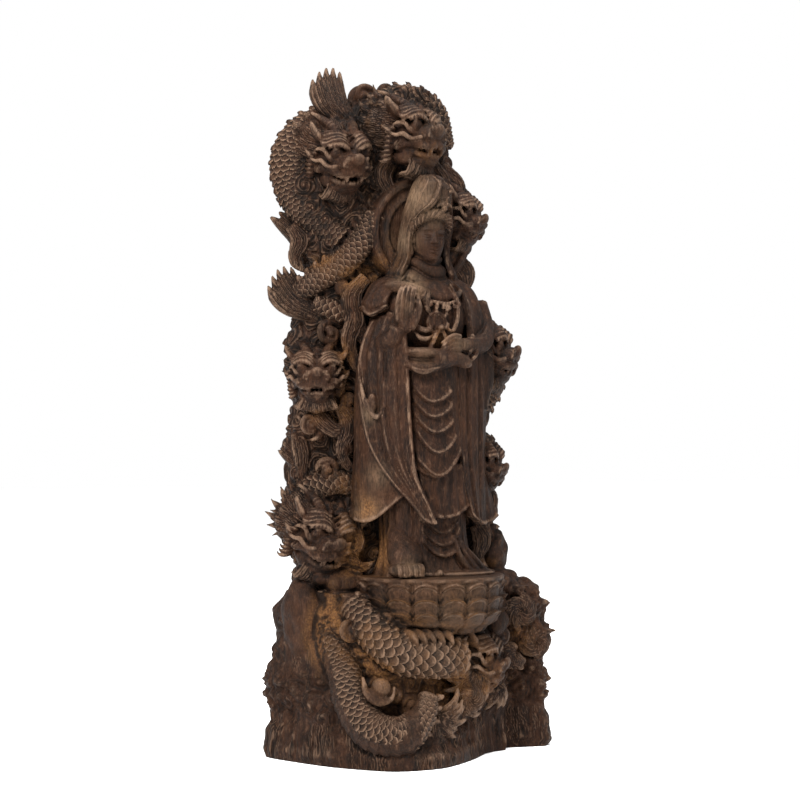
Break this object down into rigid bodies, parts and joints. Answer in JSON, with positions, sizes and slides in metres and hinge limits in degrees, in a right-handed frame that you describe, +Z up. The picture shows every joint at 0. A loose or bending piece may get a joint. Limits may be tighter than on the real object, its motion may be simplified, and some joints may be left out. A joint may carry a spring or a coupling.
{
  "type": "carved guanyin figure",
  "caption": "Hardwood carving of Guanyin standing on a lotus before an upright screen of dragons and clouds on a rocky foot, cut from one block.",
  "frame": {"origin": "on the flat underside, below the middle of the lotus that the figure stands on", "axes": "+Z up, the figure looks along -Y, and +X points to the viewer's right, the figure's own left"},
  "size_m": [0.2622, 0.1505, 0.5873],
  "materials": {
    "dark_hardwood": "waxed dark brown coarse-grained hardwood with ochre dust in the recesses"
  },
  "bodies": {
    "root": {"guanyin_carving": "dark_hardwood"}
  },
  "joints": []
}
